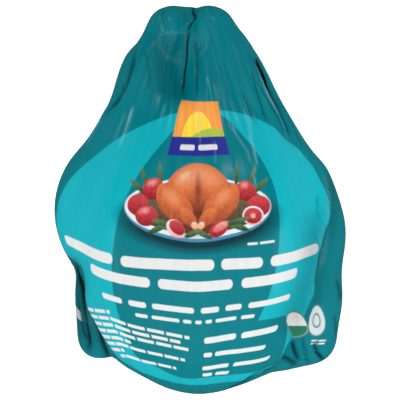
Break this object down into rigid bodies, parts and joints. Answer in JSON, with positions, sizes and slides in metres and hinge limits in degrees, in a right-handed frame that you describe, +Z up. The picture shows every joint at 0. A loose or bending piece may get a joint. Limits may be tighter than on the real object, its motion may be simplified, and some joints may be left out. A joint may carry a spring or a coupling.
{
  "type": "bagged whole turkey",
  "caption": "Whole raw turkey in a closed, printed shrink bag, lying breast up, with drumsticks, thighs and wings showing through the tight film.",
  "frame": {"origin": "centre of the pack's outline seen from above, on the surface that it lies on", "axes": "+Z up through the breast, +Y from the neck end to the ends of the legs, +X to the right of the print seen from above"},
  "size_m": [0.291, 0.389, 0.1918],
  "materials": {
    "printed_film": "glossy opaque printed film"
  },
  "bodies": {
    "root": {"bagged_turkey": "printed_film"}
  },
  "joints": []
}
